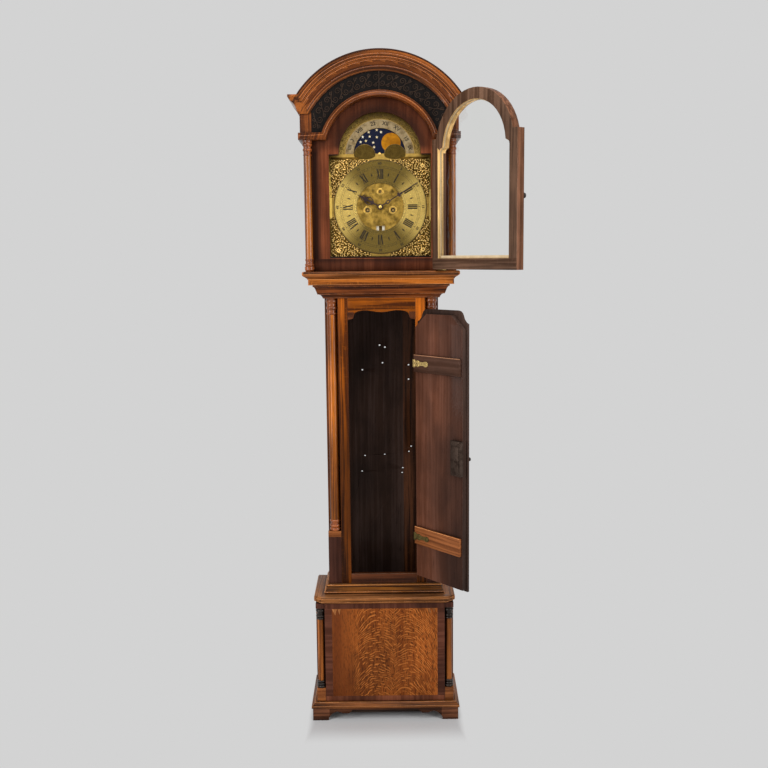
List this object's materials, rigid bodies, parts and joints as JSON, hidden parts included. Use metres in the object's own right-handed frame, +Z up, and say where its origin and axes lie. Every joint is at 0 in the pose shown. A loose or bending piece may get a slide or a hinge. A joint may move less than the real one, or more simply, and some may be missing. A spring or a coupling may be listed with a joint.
{
  "type": "longcase clock",
  "caption": "Break-arch oak longcase clock: lift-off hood with glazed door, moon dial and hands, tall trunk with a lipped door, plinth on bracket feet.",
  "frame": {"origin": "on the floor, under the middle of the backboard's bottom end", "axes": "+Z up, -Y out of the dial towards the viewer, +X to the viewer's right"},
  "size_m": [0.7091, 0.5507, 2.1932],
  "materials": {
    "oak": "waxed oak",
    "oak_dark": "dark stained oak",
    "oak_figured": "quarter-sawn oak with crossbanding",
    "ebonised": "ebonised wood",
    "softwood": "unfinished aged pine",
    "brass": "aged lacquered brass",
    "bell_metal": "bell metal",
    "blued_steel": "blued steel",
    "steel": "polished steel",
    "iron": "blackened iron",
    "moon_paint": "painted brass disc",
    "glass": "clear crown glass"
  },
  "bodies": {
    "case": {"backboard": "softwood", "plinth_front": "oak_figured", "plinth_side_left": "oak", "plinth_side_right": "oak", "plinth_column_left": "ebonised", "plinth_column_right": "ebonised", "plinth_top": "oak", "base_moulding": "oak", "base_skirt": "oak", "waist_moulding": "oak", "trunk_side_left": "oak", "trunk_side_right": "oak", "trunk_stile_left": "oak", "trunk_stile_right": "oak", "trunk_top_rail": "oak", "trunk_bottom_rail": "oak", "trunk_column_left": "oak", "trunk_column_right": "oak", "throat_moulding": "oak", "seatboard": "softwood", "front_plate": "brass", "back_plate": "brass", "bell": "bell_metal", "dial_plate": "brass", "chapter_ring": "brass"},
    "centre": {"centre_wheel": "brass", "minute_hand": "blued_steel"},
    "hour": {"hour_wheel": "brass", "hour_hand": "blued_steel"},
    "minute_wheel": {"minute_wheel": "brass"},
    "third_wheel": {"third_wheel": "brass"},
    "escape_wheel": {"escape_wheel": "brass"},
    "anchor": {"anchor": "steel"},
    "going_barrel": {"going_barrel": "brass"},
    "going_great_wheel": {"going_great_wheel": "brass"},
    "strike_barrel": {"strike_barrel": "brass"},
    "moon_disc": {"moon_disc": "moon_paint"},
    "bell_hammer": {"bell_hammer": "steel"},
    "hood": {"hood_side_left": "oak", "hood_side_right": "oak", "hood_column_left": "oak", "hood_column_right": "oak", "archivolt": "oak", "frieze": "ebonised", "hood_cornice": "oak", "hood_roof": "softwood", "hood_base": "oak", "dial_mask": "oak_dark"},
    "hood_door": {"hood_door_frame": "oak", "hood_door_glass": "glass", "hood_door_knob": "ebonised", "hood_pivot_upper": "brass", "hood_pivot_lower": "brass"},
    "trunk_door": {"trunk_door": "oak", "trunk_batten_upper": "oak_dark", "trunk_batten_lower": "oak", "trunk_hinge_upper": "brass", "trunk_hinge_lower": "brass", "trunk_door_lock": "iron", "trunk_door_knob": "ebonised"}
  },
  "joints": [
    {"name": "hood_slide", "type": "slide", "parent": "case", "child": "hood", "axis": [0, -1, 0], "range_m": [0, 0.3]},
    {"name": "hood_door_hinge", "type": "hinge", "parent": "hood", "child": "hood_door", "pos_m": [0.186, -0.233, 1.5158], "axis": [0, 0, 1], "range_deg": [-127.5, 10]},
    {"name": "trunk_door_hinge", "type": "hinge", "parent": "case", "child": "trunk_door", "pos_m": [0.1177, -0.1986, 0.49], "axis": [0, 0, 1], "range_deg": [-130.8, 15]},
    {"name": "hands_turn", "type": "hinge", "parent": "case", "child": "centre", "pos_m": [0, -0.12, 1.7165], "axis": [0, 1, 0], "continuous": true},
    {"name": "hour_turn", "type": "hinge", "parent": "case", "child": "hour", "pos_m": [0, -0.12, 1.7165], "axis": [0, 1, 0], "continuous": true},
    {"name": "minute_wheel_turn", "type": "hinge", "parent": "case", "child": "minute_wheel", "pos_m": [0, -0.12, 1.6825], "axis": [0, 1, 0], "continuous": true},
    {"name": "third_wheel_turn", "type": "hinge", "parent": "case", "child": "third_wheel", "pos_m": [0.02052, -0.12, 1.74361], "axis": [0, 1, 0], "continuous": true},
    {"name": "escape_wheel_turn", "type": "hinge", "parent": "case", "child": "escape_wheel", "pos_m": [0, -0.12, 1.7655], "axis": [0, 1, 0], "continuous": true},
    {"name": "going_great_wheel_turn", "type": "hinge", "parent": "case", "child": "going_great_wheel", "pos_m": [0.041, -0.12, 1.7065], "axis": [0, 1, 0], "continuous": true},
    {"name": "moon_turn", "type": "hinge", "parent": "case", "child": "moon_disc", "pos_m": [0, -0.12, 1.882], "axis": [0, 1, 0], "continuous": true},
    {"name": "anchor_rock", "type": "hinge", "parent": "case", "child": "anchor", "pos_m": [0, -0.12, 1.793], "axis": [0, 1, 0], "range_deg": [-3, 3]},
    {"name": "going_winding", "type": "hinge", "parent": "case", "child": "going_barrel", "pos_m": [0.041, -0.12, 1.7065], "axis": [0, 1, 0], "continuous": true},
    {"name": "strike_winding", "type": "hinge", "parent": "case", "child": "strike_barrel", "pos_m": [-0.041, -0.12, 1.7065], "axis": [0, 1, 0], "continuous": true},
    {"name": "hammer_swing", "type": "hinge", "parent": "case", "child": "bell_hammer", "pos_m": [-0.047, -0.12, 1.785], "axis": [0, 1, 0], "range_deg": [-8, 1.5], "stiffness_Nm_per_rad": 0.05, "springref_deg": 0.69}
  ],
  "couplings": [
    {"joint": "hour_turn", "follows": "hands_turn", "ratio": 0.083333},
    {"joint": "minute_wheel_turn", "follows": "hands_turn", "ratio": -1},
    {"joint": "third_wheel_turn", "follows": "hands_turn", "ratio": -7.5},
    {"joint": "escape_wheel_turn", "follows": "hands_turn", "ratio": 60},
    {"joint": "going_great_wheel_turn", "follows": "hands_turn", "ratio": -0.083333},
    {"joint": "moon_turn", "follows": "hands_turn", "ratio": 0.00070621}
  ]
}
